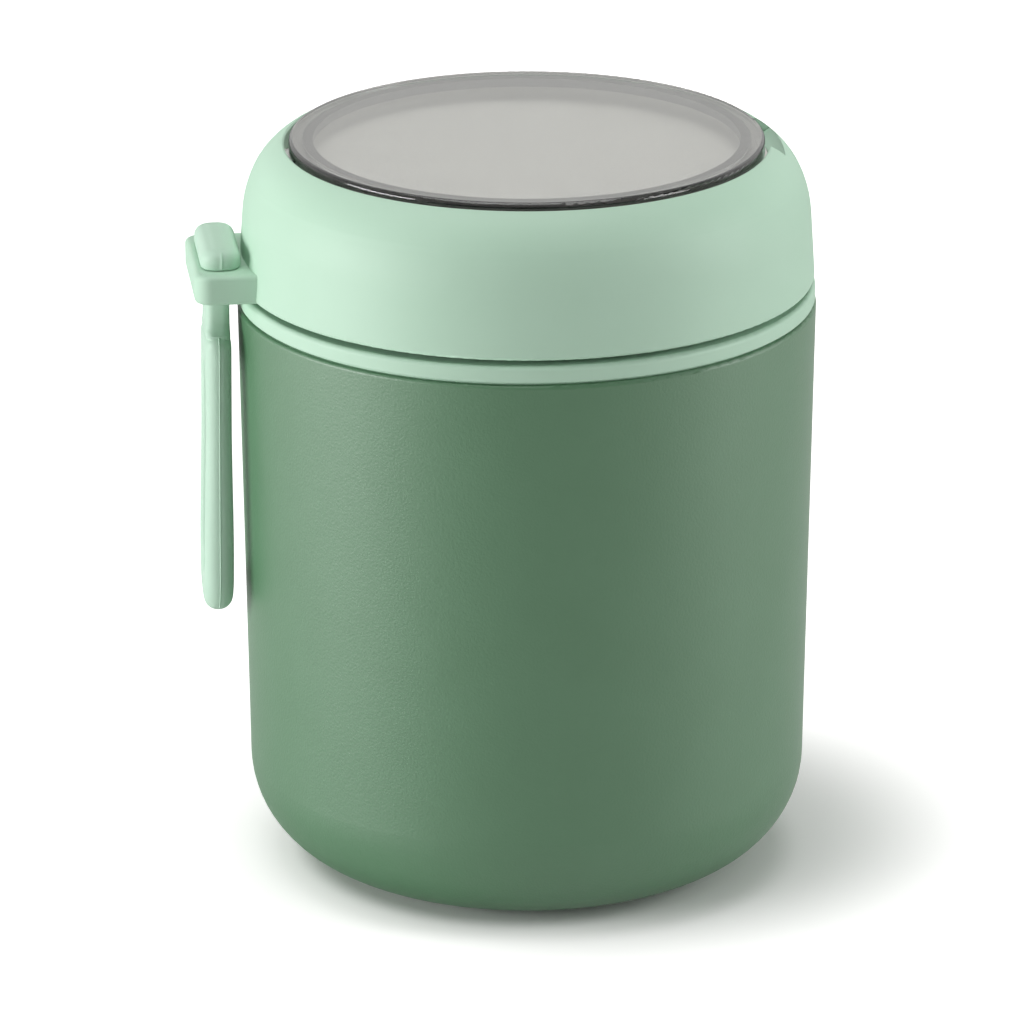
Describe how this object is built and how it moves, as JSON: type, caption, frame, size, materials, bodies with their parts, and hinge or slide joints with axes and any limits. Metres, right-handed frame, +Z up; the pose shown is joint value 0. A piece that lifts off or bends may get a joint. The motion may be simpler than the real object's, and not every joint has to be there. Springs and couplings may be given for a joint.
{
  "type": "insulated lunch jar",
  "caption": "Insulated food jar with a steel bowl, a domed screw lid, a clear tilt-up cover over a tray in the lid, and a soft carry strap on a lug.",
  "frame": {"origin": "centre of the base pad's underside, on the surface that the jar stands on", "axes": "+Z up along the jar's axis, -X towards the strap lug on the lid, +X towards the finger notch"},
  "size_m": [0.1163, 0.1074, 0.1398],
  "materials": {
    "shell_plastic": "matte",
    "lid_plastic": "satin",
    "liner_plastic": "satin",
    "cover_plastic": "gloss",
    "cover_seal_silicone": "matte",
    "seal_silicone": "matte",
    "pad_silicone": "matte",
    "strap_silicone": "matte",
    "bowl_steel": "satin",
    "foam": "matte"
  },
  "bodies": {
    "jar": {"outer_shell": "shell_plastic", "base_pad": "pad_silicone", "inner_bowl": "bowl_steel", "insulation_jacket": "foam", "collar": "lid_plastic", "bowl_gasket": "seal_silicone"},
    "seal": {"lid_seal": "seal_silicone"},
    "lid": {"lid_shell": "lid_plastic", "lid_liner": "liner_plastic", "lid_insulation": "foam", "storage_tray": "liner_plastic", "strap_head": "strap_silicone"},
    "cover": {"top_cover": "cover_plastic", "cover_seal": "cover_seal_silicone"},
    "strap": {"strap_loop": "strap_silicone"}
  },
  "joints": [
    {"name": "lid_rise", "type": "slide", "parent": "jar", "child": "seal", "axis": [0, 0, 1], "range_m": [0, 0.0541]},
    {"name": "lid_turn", "type": "hinge", "parent": "seal", "child": "lid", "pos_m": [0, 0, 0.1133], "axis": [0, 0, 1], "range_deg": [0, 1080]},
    {"name": "cover_tilt", "type": "hinge", "parent": "lid", "child": "cover", "pos_m": [-0.0439, 0, 0.13892], "axis": [0, -1, 0], "range_deg": [0, 30]},
    {"name": "strap_swing", "type": "hinge", "parent": "lid", "child": "strap", "pos_m": [-0.0578, 0, 0.1104], "axis": [0, 1, 0], "range_deg": [-1.5, 90]}
  ],
  "couplings": [
    {"joint": "lid_rise", "follows": "lid_turn", "m_per_rad": 0.0028648}
  ]
}
